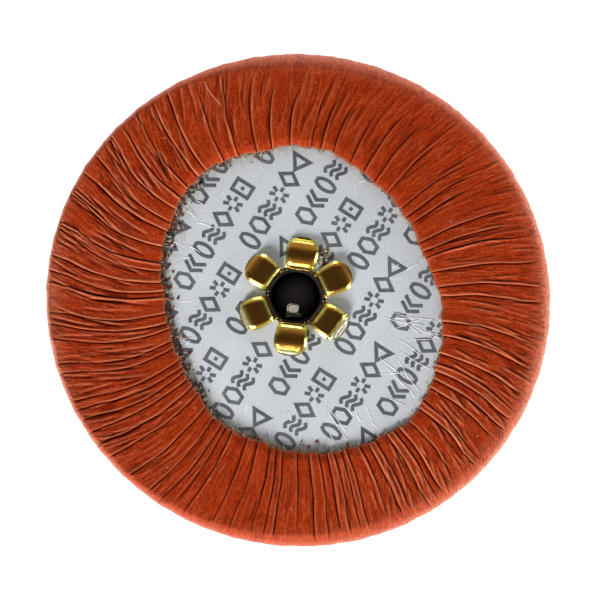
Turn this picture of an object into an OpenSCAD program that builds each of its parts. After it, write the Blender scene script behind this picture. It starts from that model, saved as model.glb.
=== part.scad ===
// Woodwind key pad. A disc of kid leather is drawn over a felt cushion and a card back, and
// gathered in pleats on the back. A domed metal resonator lies on the front, held by a tubular
// rivet whose far end is slit and splayed into a star over the printed card.
// The origin is the centre of the gathered back face, and +Z points out of the back.
// All sizes are in millimetres.

/* [Pad] */
// Outside diameter of the covered pad
pad_d = 32; // [28:0.5:40]
// Thickness from the playing face to the gathered back face
pad_t = 4.2; // [3.8:0.1:5]
// Round on the playing edge of the rim
front_round = 0.9; // [0.6:0.1:1.1]
// Round on the gathered edge of the rim
back_round = 1.1; // [0.6:0.1:1.1]

/* [Leather] */
// Thickness of the leather over the playing face
skin_t = 0.3; // [0.2:0.05:0.4]
// Thickness of the leather round the rim
rim_t = 0.35; // [0.2:0.05:0.5]
// Thickness of the pleated leather on the back
gather_t = 0.7; // [0.6:0.05:0.9]
// Diameter of the opening that the gathered leather leaves on the back
opening_d = 19.2; // [17:0.2:22]
// Width of the glue bead along the cut edge of the leather
glue_w = 0.3; // [0.2:0.05:0.5]

/* [Core] */
// Thickness of the stiff card back
board_t = 0.8; // [0.5:0.1:1]
// Thickness of the printed paper on the card
liner_t = 0.15; // [0.1:0.05:0.3]
// How far the resonator is drawn into the playing face
seat_depth = 0.6; // [0.3:0.1:0.8]

/* [Rivet] */
// Bore of the rivet's tube
rivet_bore_d = 3.2; // [2.6:0.1:3.6]
// Wall thickness of the rivet
rivet_wall = 0.25; // [0.15:0.05:0.35]
// Diameter of the flange inside the resonator
flange_d = 6; // [5:0.2:8]
// Number of petals that the end of the tube is slit into
petals = 6; // [4:1:6]
// Width of one petal
petal_w = 1.95; // [1.5:0.05:2]
// Radius of the rounded end of a petal
petal_end_r = 1.4; // [1.2:0.05:1.8]
// Diameter of the circle round the petal tips
star_d = 7.7; // [7:0.1:9]
// Height of a petal's crest over the card
crest_h = 0.6; // [0.4:0.05:0.6]
// Turn of the first petal from +X, in degrees
star_turn = 23.5; // [0:0.5:60]

/* [Resonator] */
// Outside diameter of the resonator
resonator_d = 19; // [16:0.5:20]
// Rise of the dome over its rim
dome_h = 0.9; // [0.6:0.1:1.4]
// Diameter of the flat crown of the dome
crown_d = 11; // [8:0.5:12]
// Sheet thickness of the dome and of its back plate
sheet_t = 0.3; // [0.2:0.05:0.4]
// Width of the lip that is curled over the back plate
lip_w = 0.8; // [0.6:0.1:1.2]

/* [Hidden] */
clearance = 0.1;        // round the rivet, through everything it passes
sheet_gap = 0.05;       // between the back plate and the lip curled over it
beyond = 0.5;           // how far a cutting shape runs past what it cuts
pad_r = pad_d / 2;
core_r = pad_r - rim_t;
front_z = -pad_t;
card_z = -gather_t;
board_z = card_z - liner_t;
felt_z = board_z - board_t;
felt_front_z = front_z + skin_t;
seat_z = front_z + seat_depth;
opening_r = opening_d / 2;

board_r = core_r - rim_t;
liner_r = board_r - 2 * liner_t;

bore_r = rivet_bore_d / 2;
tube_r = bore_r + rivet_wall;
hole_r = tube_r + clearance;
star_r = star_d / 2;
tip_trim = 0.05;        // how far the curled rim runs past the round ends of its petals
curl_r = star_r + tip_trim;
arch_half = (curl_r - bore_r) / 2;
arch_x = bore_r + arch_half;
arch_r = (pow(arch_half, 2) + pow(crest_h, 2)) / (2 * crest_h);
arch_z = card_z + crest_h - arch_r;
floor_z = seat_z - sheet_t;

resonator_r = resonator_d / 2;
seat_r = resonator_r + clearance;
lip_t = sheet_t / 2;
plate_rim_z = seat_z - lip_t - sheet_t + sheet_gap;
crown_r = crown_d / 2;
crown_z = plate_rim_z - dome_h;
shoulder_r = (pow(resonator_r - crown_r, 2) + pow(dome_h, 2)) / (2 * dome_h);

$fn = 96;

// A rectangle of the half-section, from radius r0 to r1 and from height z0 to z1.
module band(r0, r1, z0, z1) {
    translate([r0, z0]) square([r1 - r0, z1 - z0]);
}

// The half-section of a disc whose two outer corners are rounded.
module rounded_section(r, z0, z1, low_round, high_round) {
    difference() {
        band(0, r, z0, z1);
        difference() {
            band(r - low_round, r + beyond, z0 - beyond, z0 + low_round);
            translate([r - low_round, z0 + low_round]) circle(low_round);
        }
        difference() {
            band(r - high_round, r + beyond, z1 - high_round, z1 + beyond);
            translate([r - high_round, z1 - high_round]) circle(high_round);
        }
    }
}

// The half-section of the hollow that the resonator presses into a face at height z.
module seat_section(z) {
    polygon([[0, z - beyond], [0, z + seat_depth], [seat_r, z + seat_depth],
             [seat_r + seat_depth, z], [seat_r + seat_depth, z - beyond]]);
}

// The half-section of the space inside the leather.
module core_section() {
    difference() {
        rounded_section(core_r, felt_front_z, card_z, front_round - skin_t,
                        back_round - rim_t);
        seat_section(felt_front_z);
    }
}

// The drawn leather: playing face, rim and gathered back in one piece.
module leather_skin() {
    color([0.60, 0.22, 0.10]) rotate_extrude() difference() {
        rounded_section(pad_r, front_z, 0, front_round, back_round);
        seat_section(front_z);
        core_section();
        band(-beyond, opening_r, card_z, beyond);
        band(-beyond, hole_r, front_z - beyond, beyond);
    }
}

// The pressed wool cushion between the playing face and the card back.
module felt_cushion() {
    color([0.93, 0.91, 0.85]) rotate_extrude() intersection() {
        core_section();
        band(hole_r, core_r, front_z, felt_z);
    }
}

// The stiff card that keeps the cushion flat.
module backing_board() {
    color([0.72, 0.66, 0.55]) rotate_extrude() band(hole_r, board_r, felt_z, board_z);
}

// The printed white paper on the card.
module card_liner() {
    color([0.81, 0.83, 0.85]) rotate_extrude() band(hole_r, liner_r, board_z, card_z);
}

// The bead of glue squeezed out along the cut edge of the leather.
module glue_bead() {
    color([0.33, 0.22, 0.12]) rotate_extrude() intersection() {
        band(opening_r - glue_w, opening_r, card_z, card_z + glue_w);
        translate([opening_r, card_z]) circle(glue_w);
    }
}

// The curled rim that the end of the tube is spread into, before it is cut into petals.
module curled_rim() {
    rotate_extrude() intersection() {
        difference() {
            translate([arch_x, arch_z]) circle(arch_r);
            translate([arch_x, arch_z]) circle(arch_r - rivet_wall);
        }
        band(bore_r, curl_r, card_z, beyond);
    }
}

// One petal along +X, seen from above: a plank with a rounded end.
module petal_plan() {
    intersection() {
        translate([0, -petal_w / 2]) square([star_r + beyond, petal_w]);
        translate([star_r - petal_end_r, 0]) circle(petal_end_r);
    }
}

// The rivet: a tube with a floor and a flange inside the resonator, and petals on the card.
module star_rivet() {
    color([0.79, 0.62, 0.22]) {
        rotate_extrude() {
            band(bore_r, tube_r, floor_z, card_z);
            band(0, flange_d / 2, floor_z - rivet_wall, floor_z);
        }
        intersection() {
            curled_rim();
            translate([0, 0, card_z]) linear_extrude(-card_z + beyond)
                for (i = [0 : petals - 1]) rotate(star_turn + i * 360 / petals) petal_plan();
        }
    }
}

// The half-section of the space under the dome's outer face, or inside its sheet when inset.
module dome_section(inset) {
    band(0, crown_r, crown_z + inset, seat_z);
    intersection() {
        translate([crown_r, crown_z + shoulder_r]) circle(shoulder_r - inset);
        band(crown_r, resonator_r, crown_z, plate_rim_z);
    }
}

// The domed front of the resonator: a flat crown, a round shoulder, and an edge curled round
// the back plate.
module resonator_dome() {
    color([0.80, 0.66, 0.32]) rotate_extrude() {
        difference() {
            intersection() {
                dome_section(0);
                band(0, resonator_r, crown_z, plate_rim_z);
            }
            dome_section(sheet_t);
        }
        band(resonator_r - sheet_t, resonator_r, plate_rim_z, seat_z);
        band(resonator_r - lip_w, resonator_r, seat_z - lip_t, seat_z);
    }
}

// The flat plate that closes the dome, stepped down under the curled lip.
module resonator_backplate() {
    color([0.72, 0.60, 0.30]) rotate_extrude() {
        band(hole_r, resonator_r - lip_w - clearance, floor_z, seat_z);
        band(resonator_r - lip_w - 3 * clearance, resonator_r - sheet_t - sheet_gap, plate_rim_z,
             seat_z - lip_t);
    }
}

leather_skin();
felt_cushion();
backing_board();
card_liner();
glue_bead();
star_rivet();
resonator_dome();
resonator_backplate();
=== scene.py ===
"""The looks of a leather-covered woodwind key pad. It lies on its resonator, with the gathered
back up: pleated leather round a printed card, and a splayed tubular rivet in the middle.

Shapes are worked out in millimetres, and make_piece() turns them into metres. Angles round the
disc start at +X and run towards +Y. +Z points out of the pad's back.
"""

import math

import bmesh
import bpy
import numpy as np
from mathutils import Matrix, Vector


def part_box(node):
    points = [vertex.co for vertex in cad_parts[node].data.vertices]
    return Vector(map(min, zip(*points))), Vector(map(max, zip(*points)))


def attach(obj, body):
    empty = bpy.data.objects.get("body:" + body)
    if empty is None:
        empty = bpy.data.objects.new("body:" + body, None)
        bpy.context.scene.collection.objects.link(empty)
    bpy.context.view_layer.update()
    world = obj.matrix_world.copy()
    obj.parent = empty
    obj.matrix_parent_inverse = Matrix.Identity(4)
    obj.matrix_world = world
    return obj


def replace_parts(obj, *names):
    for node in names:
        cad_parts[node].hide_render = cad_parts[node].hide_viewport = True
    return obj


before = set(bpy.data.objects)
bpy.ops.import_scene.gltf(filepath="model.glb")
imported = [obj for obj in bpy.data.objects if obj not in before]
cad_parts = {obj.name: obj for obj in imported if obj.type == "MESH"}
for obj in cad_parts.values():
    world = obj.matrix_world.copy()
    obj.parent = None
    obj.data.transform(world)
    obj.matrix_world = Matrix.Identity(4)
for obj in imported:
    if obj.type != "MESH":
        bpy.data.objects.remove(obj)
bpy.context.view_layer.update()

MM = 0.001
TURN = 2 * math.pi
SHARP = math.radians(50)


def millimetres(node):
    """A CAD node's lowest and highest corners, in millimetres."""
    low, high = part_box(node)
    return np.array(low) / MM, np.array(high) / MM


# ---------------------------------------------------------------- sizes taken from the CAD model

skin_low, skin_high = millimetres("leather_skin")
board_low, board_high = millimetres("backing_board")
_, liner_high = millimetres("card_liner")
star_low, _ = millimetres("star_rivet")
dome_low, dome_high = millimetres("resonator_dome")

PAD_R = skin_high[0]
FRONT_Z = skin_low[2]
CARD_Z = liner_high[2]
BOARD_Z = board_high[2]
FELT_Z = board_low[2]
SEAT_Z = dome_high[2]               # the recess in the playing face that holds the resonator
SEAT_R = dome_high[0] + 0.1
HOLE_R = 1.95                       # the hole for the rivet through every layer
RIVET_LOW = star_low[2]

# ---------------------------------------------------------------- sizes of the gathered leather

COLUMNS = 1600          # points round the gathered back
BACK_ROWS = 40          # rows of points from the cut edge to the shoulder
RIM_ROWS = 11           # rows from the shoulder down to the widest line of the rim
SKIN_T = 0.3            # thickness of the leather over the playing face
EDGE_DROP = 0.46        # how far the cut edge lies below the back plane
WIDEST_Z = -2.1         # height of the widest line of the rim
CREASE_DEPTH = 0.36     # depth of the strongest crease
# The dark line down a crease is painted shade.
CREASE_W = 0.055        # half width of the dark line down a crease
LIP_ROLL = 0.06         # how far from its crease a lip leans over most
WRINKLES = 420          # slanting wrinkles between the creases
WRINKLE_W = 0.06        # half width of a wrinkle

# Each list holds values at even angles round the disc, and around() runs smoothly between them.
OPENING_R = [
    9.35, 8.75, 8.75, 8.85, 9.05, 9.55, 9.75, 9.65, 9.95, 9.85, 9.35, 9.0,
    8.5, 8.45, 8.6, 8.95, 9.5, 9.65, 10.05, 10.35, 10.6, 10.85, 10.3, 9.8,
]
CREASE_GAP = [6.0, 6.0, 6.5, 6.0, 5.2, 5.0, 4.8, 4.2, 4.4, 4.0, 3.7, 4.8]       # degrees
CREASE_LEAN = [1.5, 2.2, 3.3, 4.5, 3.0, 4.0, 4.5, 4.5, 3.0, 0.3, 0.5, 2.0]      # degrees
CREASE_BULGE = [0.6, 0.8, 0.3, 0.2, 0.2, 1.2, 1.3, 0.8, 0.3, 0.4, 0.5, 0.8]     # degrees
CREASE_END = [1.15, 0.85, 0.8, 0.9, 1.15, 1.3, 1.4, 1.4, 1.25, 1.2, 1.2, 1.2]   # 1 is the shoulder
LIP_BEFORE = [0.3, 0.5, 0.8, 0.9, 0.9, 0.9, 0.9, 0.9, 0.8, 0.6, 0.4, 0.3]       # share of creases
FAN_LEAN = [5.0, 5.0, 6.0, 8.0, 11.0, 12.0, 12.0, 11.0, 7.0, 2.0, 5.0, 8.0]     # degrees
FAN_STRENGTH = [0.7, 0.4, 0.25, 0.3, 0.6, 1.0, 1.0, 0.9, 0.35, 0.2, 0.8, 1.0]
SHOULDER_W = [0.9, 0.7, 0.9, 1.1, 0.6, 0.4, 0.4, 0.5, 0.7, 1.0, 1.1, 1.0]
SHOULDER_SOFT = [0.6, 0.55, 0.5, 0.45, 0.6, 0.7, 0.7, 0.6, 0.55, 0.5, 0.5, 0.6]
RIDGE_SHINE = [0.8, 0.3, 0.2, 0.4, 0.9, 1.0, 0.85, 0.6, 0.35, 0.35, 1.0, 1.0]
# The next two lists set the rim's paling: real wear of the nap together with a painted sheen.
RIM_WEAR_AND_SHEEN = [1.05, 0.8, 0.5, 0.5, 0.3, 0.5, 1.0, 0.75, 0.38, 0.4, 0.58, 0.95]
RIM_START = [1.02, 0.98, 0.95, 0.95, 1.0, 0.93, 0.76, 0.98, 1.15, 1.2, 1.15, 1.08]
RIM_NAP = [1.0, 1.0, 0.9, 0.5, 0.3, 0.3, 0.6, 0.9, 0.9, 0.8, 1.0, 1.0]
STAIN = [0.25, 0.2, 0.35, 0.5, 0.8, 0.9, 0.8, 0.7, 0.8, 0.5, 0.25, 0.3]
CRUST = [0.3, 0.3, 0.3, 0.4, 0.8, 1.0, 1.0, 0.95, 0.75, 0.7, 0.6, 0.45]


def smooth(low, high, x):
    """0 below low, 1 above high, and a smooth ramp between them."""
    t = np.clip((x - low) / (high - low), 0, 1)
    return t * t * (3 - 2 * t)


def around(values, angle):
    """A value that varies smoothly round the disc, through values at even angles."""
    values = np.asarray(values, float)
    count = len(values)
    place = np.mod(angle / TURN * count, count)
    first = np.floor(place).astype(int)
    f = place - first
    a, b, c, d = (values[(first + k) % count] for k in (-1, 0, 1, 2))
    return b + 0.5 * f * (c - a + f * (2 * a - 5 * b + 4 * c - d + f * (3 * (b - c) + d - a)))


def outline_radius(angle):
    """Radius of the pad: a slight oval whose centre lies a little off the rivet."""
    oval = 0.2 * np.cos(2 * (angle + math.radians(12)))
    bumps = 0.012 * np.sin(37 * angle) + 0.010 * np.sin(61 * angle + 1) + 0.008 * np.sin(97 * angle + 2)
    return PAD_R + 0.13 + 0.17 * np.cos(angle) - 0.24 * np.sin(angle) + oval + bumps


def polar(radius, angle, z):
    """Points from cylindrical coordinates."""
    return np.stack([radius * np.cos(angle), radius * np.sin(angle), z + 0 * radius], axis=-1)


# ---------------------------------------------------------------- making pieces


def new_object(name, data):
    """An object in the scene that shows some data."""
    made = bpy.data.objects.new(name, data)
    bpy.context.scene.collection.objects.link(made)
    return made


def make_piece(name, points, faces, material, attributes=None, smooth_angle=SHARP):
    """A mesh piece from points in millimetres, riding on the pad."""
    mesh = bpy.data.meshes.new(name)
    mesh.from_pydata((np.asarray(points, float) * MM).tolist(), [], faces)
    for key, values in (attributes or {}).items():
        values = np.asarray(values, np.float32)
        kind, field = ("FLOAT_VECTOR", "vector") if values.ndim == 2 else ("FLOAT", "value")
        mesh.attributes.new(key, kind, "POINT").data.foreach_set(field, values.ravel())
    work = bmesh.new()
    work.from_mesh(mesh)
    bmesh.ops.recalc_face_normals(work, faces=work.faces)
    work.to_mesh(mesh)
    work.free()
    mesh.shade_smooth()
    if smooth_angle:
        mesh.set_sharp_from_angle(angle=smooth_angle)
    mesh.materials.append(material)
    piece = new_object(name, mesh)
    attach(piece, "root")
    return piece


class Shape:
    """Points and faces gathered from many small forms, with one number kept for each point."""

    def __init__(self):
        self.points, self.faces, self.tone = [], [], []
        self.count = 0

    def add(self, points, faces, tone=0.0):
        """Adds a form. tone is one number, or one for each of its points."""
        points = np.asarray(points, float).reshape(-1, 3)
        self.points.append(points)
        self.faces.extend([tuple(int(i) + self.count for i in face) for face in faces])
        self.tone.append(np.broadcast_to(np.asarray(tone, float), len(points)))
        self.count += len(points)

    def piece(self, name, material, slot, smooth_angle=SHARP):
        """Makes one piece of everything that was added."""
        points = np.concatenate(self.points)
        tone = {"tone": np.concatenate(self.tone)}
        return make_piece(name, points, self.faces, material, tone, smooth_angle)


def bridge(start_a, count_a, start_b, count_b):
    """Faces between two closed rings of points. One may have twice as many points as the other."""
    faces = []
    if count_a == count_b:
        for i in range(count_a):
            j = (i + 1) % count_a
            faces.append((start_a + i, start_a + j, start_b + j, start_b + i))
        return faces
    if count_a < count_b:
        return [face[::-1] for face in bridge(start_b, count_b, start_a, count_a)]
    for i in range(count_b):
        j = (i + 1) % count_b
        a0, a1, a2 = start_a + 2 * i, start_a + 2 * i + 1, start_a + (2 * i + 2) % count_a
        faces.append((a0, a1, start_b + i))
        faces.append((a1, a2, start_b + j, start_b + i))
    return faces


def turned(profile, count, capped=False):
    """Rows of points that turn a half-section round the axis. A radius below zero is measured in
    from the pad's outline. A capped solid starts and ends at the axis."""
    angle = np.arange(count) * TURN / count
    rows = [polar(outline_radius(angle) + r if r < 0 else r + 0 * angle, angle, z) for r, z in profile]
    faces = []
    for i in range(len(rows) - 1 if capped else len(rows)):
        faces += bridge(i * count, count, (i + 1) % len(rows) * count, count)
    if capped:
        last = (len(rows) - 1) * count
        faces.append(tuple(range(count))[::-1])
        faces.append(tuple(range(last, last + count)))
    return np.concatenate(rows), faces


def tube_mesh(path, radii, sides):
    """A closed tube along a path, with its own radius at each point."""
    path = np.asarray(path, float)
    along = np.gradient(path, axis=0)
    along /= np.linalg.norm(along, axis=1, keepdims=True)
    side = np.cross(along, [0.31, 0.17, 0.93])
    side /= np.linalg.norm(side, axis=1, keepdims=True)
    up = np.cross(side, along)
    turn = np.arange(sides) * TURN / sides
    ring = np.cos(turn)[None, :, None] * side[:, None] + np.sin(turn)[None, :, None] * up[:, None]
    points = (path[:, None] + ring * np.asarray(radii, float)[:, None, None]).reshape(-1, 3)
    faces = []
    for i in range(len(path) - 1):
        faces += bridge(i * sides, sides, (i + 1) * sides, sides)
    faces.append(tuple(range(sides))[::-1])
    faces.append(tuple(range((len(path) - 1) * sides, len(path) * sides)))
    return points, faces


# ---------------------------------------------------------------- shader helpers


class Nodes:
    """Short calls that add nodes to a tree. An input is a value or another node's output."""

    def __init__(self, tree):
        self.tree = tree

    def set(self, socket, value):
        if isinstance(value, bpy.types.NodeSocket):
            self.tree.links.new(value, socket)
        else:
            socket.default_value = value

    def node(self, kind, inputs=None, **settings):
        made = self.tree.nodes.new(kind)
        for key, value in settings.items():
            setattr(made, key, value)
        for key, value in (inputs or {}).items():
            self.set(made.inputs[key], value)
        return made

    def ramp(self, value, low, high, to_low=0.0, to_high=1.0):
        """value between low and high, carried smoothly onto the range to_low to to_high."""
        inputs = {"Value": value, "From Min": low, "From Max": high, "To Min": to_low, "To Max": to_high}
        return self.node("ShaderNodeMapRange", inputs, interpolation_type="SMOOTHSTEP").outputs["Result"]


class Finish(Nodes):
    """A material with a Principled shader."""

    def __init__(self, name, **values):
        self.material = bpy.data.materials.new(name)
        self.material.use_nodes = True
        super().__init__(self.material.node_tree)
        self.surface(**values)

    def surface(self, **values):
        """Feeds sockets of the shader, and returns the material."""
        shader = self.tree.nodes["Principled BSDF"]
        for key, value in values.items():
            self.set(shader.inputs[key.replace("_", " ")], value)
        return self.material

    def place(self):
        """The point on the pad, in millimetres."""
        return self.stretch(self.node("ShaderNodeTexCoord").outputs["Object"], (1 / MM, 1 / MM, 1 / MM))

    def stretch(self, vector, by):
        return self.node("ShaderNodeVectorMath", {0: vector, 1: by}, operation="MULTIPLY").outputs["Vector"]

    def math(self, operation, a, b):
        return self.node("ShaderNodeMath", {0: a, 1: b}, operation=operation).outputs[0]

    def noise(self, vector, scale, detail, roughness=0.5, distortion=0.0):
        inputs = {"Vector": vector, "Scale": scale, "Detail": detail, "Roughness": roughness}
        return self.node("ShaderNodeTexNoise", {**inputs, "Distortion": distortion}).outputs["Fac"]

    def attribute(self, name, part="Fac"):
        return self.node("ShaderNodeAttribute", attribute_name=name).outputs[part]

    def mix(self, factor, a, b):
        return self.node("ShaderNodeMix", {0: factor, 6: a, 7: b}, data_type="RGBA").outputs[2]

    def blend(self, value, a, b, low=0.3, high=0.7):
        """Colour a where value is below low and b where it is above high, blended between."""
        return self.mix(self.ramp(value, low, high), a, b)

    def layer(self, colour, *coats):
        """A colour under (mask, colour) coats, laid on one after another."""
        for mask, coat in coats:
            colour = self.mix(mask, colour, coat)
        return colour

    def bump(self, height, distance, strength, under=None):
        inputs = {"Height": height, "Distance": distance * MM, "Strength": strength}
        if under is not None:
            inputs["Normal"] = under
        return self.node("ShaderNodeBump", inputs).outputs["Normal"]


def rgb(red, green, blue):
    """A colour for a socket, from linear values."""
    return (red, green, blue, 1.0)


# ---------------------------------------------------------------- materials

# The masks that leather_skin() stores at every point: painted shade down the creases, painted highlight on
# the lips, rim wear with a painted sheen, the lighter cut edge, and the slanting wrinkles.
SHADES = ("groove_and_shade", "ridge_highlight", "wear_and_sheen", "cut", "fanned")


def leather_finish():
    """Thin red-brown kid leather: satin, finely grained, with painted shade down its creases and wrinkle
    cracks, painted highlights on its lips and wrinkle crests, and wear with a painted sheen on the rim.
    The wrinkles follow the flow coordinates that leather_skin() gives the mesh."""
    finish = Finish("kid_leather", Specular_IOR_Level=0.05)
    spot = finish.place()
    along = finish.stretch(finish.attribute("flow", "Vector"), (1.0, 1.0, 0.16))
    across = finish.stretch(finish.attribute("fan", "Vector"), (1.0, 1.0, 0.14))
    groove_and_shade, ridge_highlight, wear_and_sheen, cut, fanned = (finish.attribute(key) for key in SHADES)

    cloud = finish.noise(spot, 0.35, 3)
    mottle = finish.noise(spot, 2.6, 4, 0.65)
    grain = finish.noise(spot, 11.0, 4, 0.7)
    pleats = finish.noise(along, 1.5, 3, 0.6)
    folds = finish.noise(across, 1.7, 3, 0.6)
    fuzz = finish.noise(finish.stretch(along, (1.0, 1.0, 2.2)), 8.0, 4, 0.75)
    fine = finish.ramp(finish.noise(across, 6.5, 3, 0.65), 0.3, 0.7)
    fan_here = finish.math("MULTIPLY", fanned, finish.ramp(finish.noise(spot, 0.55, 2), 0.4, 0.58))

    pleat_line = finish.math("PINGPONG", finish.math("MULTIPLY", pleats, 3.0), 0.5)
    fold_line = finish.math("PINGPONG", finish.math("MULTIPLY", folds, 4.0), 0.5)
    # Masks for painted shade in the wrinkle cracks and painted highlight on the wrinkle crests.
    crack_shade = finish.math("MULTIPLY", finish.ramp(fold_line, 0.0, 0.10, 0.75, 0.0), fan_here)
    crest = finish.math("MULTIPLY", finish.ramp(fold_line, 0.40, 0.5, 0.0, 0.7), fan_here)
    thin_crack_shade = finish.ramp(pleat_line, 0.0, 0.08, 0.55, 0.0)
    thin_crest_highlight = finish.ramp(pleat_line, 0.43, 0.5, 0.0, 0.35)
    cells = finish.node("ShaderNodeTexVoronoi", {"Vector": spot, "Scale": 1.1})
    chosen = finish.node("ShaderNodeSeparateXYZ", {0: cells.outputs["Color"]}).outputs["X"]
    dot = finish.ramp(cells.outputs["Distance"], 0.03, 0.07, 1.0, 0.0)
    speck = finish.math("MULTIPLY", dot, finish.ramp(chosen, 0.7, 0.72))

    tone = finish.layer(
        finish.blend(cloud, rgb(0.335, 0.023, 0.0006), rgb(0.385, 0.029, 0.0010)),
        (finish.ramp(mottle, 0.35, 0.75), rgb(0.29, 0.021, 0.0008)),
        (finish.ramp(grain, 0.45, 0.72, 0.0, 0.75), rgb(0.60, 0.085, 0.016)),
        (finish.ramp(grain, 0.25, 0.5, 0.7, 0.0), rgb(0.13, 0.008, 0.001)),
        # rim wear with a painted sheen: paler, duller colour on the rim
        (wear_and_sheen, finish.blend(fuzz, rgb(0.46, 0.080, 0.024), rgb(0.92, 0.42, 0.26))),
        # painted highlight on the wrinkle crests
        (finish.math("MAXIMUM", crest, thin_crest_highlight), rgb(0.66, 0.125, 0.040)),
        # painted shade in the wrinkle cracks
        (finish.math("MAXIMUM", crack_shade, thin_crack_shade), rgb(0.055, 0.003, 0.001)),
        # painted highlight along the lips of the pleats
        (ridge_highlight, rgb(0.98, 0.27, 0.120)),
        # painted shade down the creases and wrinkles
        (groove_and_shade, rgb(0.016, 0.0010, 0.0005)),
        (cut, rgb(0.42, 0.20, 0.10)),
        (speck, rgb(0.80, 0.45, 0.32)),
    )

    under = finish.bump(finish.ramp(pleat_line, 0.1, 0.42), 0.030, 0.9)
    fold_step = finish.math("MULTIPLY", finish.ramp(fold_line, 0.1, 0.42), fan_here)
    under = finish.bump(fold_step, 0.080, 1.0, under)
    under = finish.bump(fine, 0.034, 0.9, under)
    under = finish.bump(finish.math("MULTIPLY", fuzz, wear_and_sheen), 0.05, 0.9, under)
    under = finish.bump(grain, 0.042, 0.9, under)
    return finish.surface(Base_Color=tone, Roughness=finish.ramp(mottle, 0.2, 0.8, 0.36, 0.5), Normal=under)


def card_finish():
    """White liner paper: smooth, faintly mottled and speckled, and stained along the leather."""
    finish = Finish("liner_paper", Roughness=0.6, Specular_IOR_Level=0.25)
    spot = finish.place()
    stain = finish.attribute("stain")
    cloud = finish.noise(spot, 0.28, 3)
    threads = finish.noise(spot, 7.0, 5, 0.7)
    speck = finish.noise(spot, 14.0, 3, 0.8)
    soak = finish.math("MULTIPLY", stain, finish.ramp(finish.noise(spot, 3.2, 5, 0.7), 0.3, 0.62))
    tone = finish.layer(
        finish.blend(cloud, rgb(0.56, 0.595, 0.64), rgb(0.63, 0.655, 0.69)),
        (finish.ramp(threads, 0.4, 0.7, 0.0, 0.8), rgb(0.74, 0.76, 0.79)),
        (finish.ramp(speck, 0.55, 0.75, 0.0, 0.8), rgb(0.36, 0.38, 0.41)),
        (finish.math("MULTIPLY", stain, 0.35), rgb(0.45, 0.42, 0.28)),
        (soak, finish.blend(cloud, rgb(0.17, 0.085, 0.035), rgb(0.30, 0.28, 0.16), 0.4, 0.6)),
    )
    under = finish.bump(soak, 0.05, 0.5)
    return finish.surface(Base_Color=tone, Normal=finish.bump(threads, 0.01, 0.5, under))


def ink_finish():
    """Grey printing ink, rubbed to a paler grey in small specks."""
    finish = Finish("grey_ink", Roughness=0.65, Specular_IOR_Level=0.3)
    spot = finish.place()
    tone = finish.blend(finish.noise(spot, 0.6, 2), rgb(0.085, 0.095, 0.11), rgb(0.13, 0.14, 0.155))
    wear = finish.ramp(finish.noise(spot, 9.0, 4, 0.7), 0.52, 0.72, 0.0, 0.7)
    return finish.surface(Base_Color=finish.mix(wear, tone, rgb(0.27, 0.29, 0.32)))


def rivet_finish():
    """Lacquered brass with a fine grain. tone runs from plain brass (0) through a painted dark reflection on
    the tops of the petals (0.5) and painted black shade in the tube (0.87) to painted dark grey shade at the
    bottom of the bore (1); -1 is a painted silvery highlight."""
    finish = Finish("rivet_brass", Metallic=1.0)
    spot = finish.place()
    tone = finish.attribute("tone")
    fine = finish.noise(spot, 20.0, 4, 0.75)
    bright = finish.blend(finish.noise(spot, 2.2, 3), rgb(0.92, 0.86, 0.24), rgb(0.76, 0.60, 0.10))
    # brown: the painted dark reflection on the petal tops
    brown = finish.blend(fine, rgb(0.74, 0.36, 0.06), rgb(0.36, 0.13, 0.025), 0.42, 0.62)
    colour = finish.layer(
        finish.blend(tone, bright, brown, 0.0, 0.5),
        # painted silvery highlight on the petal tips
        (finish.ramp(tone, -1.0, 0.0, 1.0, 0.0), rgb(0.95, 0.90, 0.72)),
        # painted black shade in the tube
        (finish.ramp(tone, 0.6, 0.85), rgb(0.035, 0.030, 0.034)),
        # painted dark grey shade at the bottom of the bore
        (finish.ramp(tone, 0.92, 1.0), rgb(0.24, 0.21, 0.235)),
    )
    dulled = finish.ramp(tone, -1.0, 0.0, 0.25, 0.0)
    polish = finish.math("ADD", finish.ramp(fine, 0.3, 0.8, 0.09, 0.30), dulled)
    rough = finish.math("MAXIMUM", polish, finish.ramp(tone, 0.6, 0.9, 0.0, 0.95))
    return finish.surface(Base_Color=colour, Roughness=rough, Normal=finish.bump(fine, 0.014, 0.7))


def brass_finish(name, bright, dark):
    """Polished metal with a fine grain, clouded between two colours."""
    finish = Finish(name, Metallic=1.0)
    spot = finish.place()
    fine = finish.noise(spot, 22.0, 4, 0.75)
    tone = finish.blend(finish.noise(spot, 1.6, 3), bright, dark)
    tone = finish.mix(finish.ramp(fine, 0.5, 0.8, 0.0, 0.5), tone, dark)
    rough = finish.ramp(fine, 0.3, 0.8, 0.12, 0.30)
    return finish.surface(Base_Color=tone, Roughness=rough, Normal=finish.bump(fine, 0.006, 0.5))


def felt_finish():
    """Pressed wool felt, off-white, with a fibrous grain."""
    finish = Finish("wool_felt", Roughness=0.95, Sheen_Weight=0.4)
    wool = finish.noise(finish.place(), 6.0, 6, 0.8, 1.2)
    tone = finish.blend(wool, rgb(0.62, 0.58, 0.48), rgb(0.85, 0.82, 0.74))
    return finish.surface(Base_Color=tone, Normal=finish.bump(wool, 0.08, 0.8))


def board_finish():
    """Grey-brown pulp board."""
    finish = Finish("pulp_board", Roughness=0.9)
    pulp = finish.noise(finish.place(), 4.0, 5, 0.75)
    tone = finish.blend(pulp, rgb(0.30, 0.23, 0.15), rgb(0.48, 0.39, 0.27))
    return finish.surface(Base_Color=tone, Normal=finish.bump(pulp, 0.03, 0.6))


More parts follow.
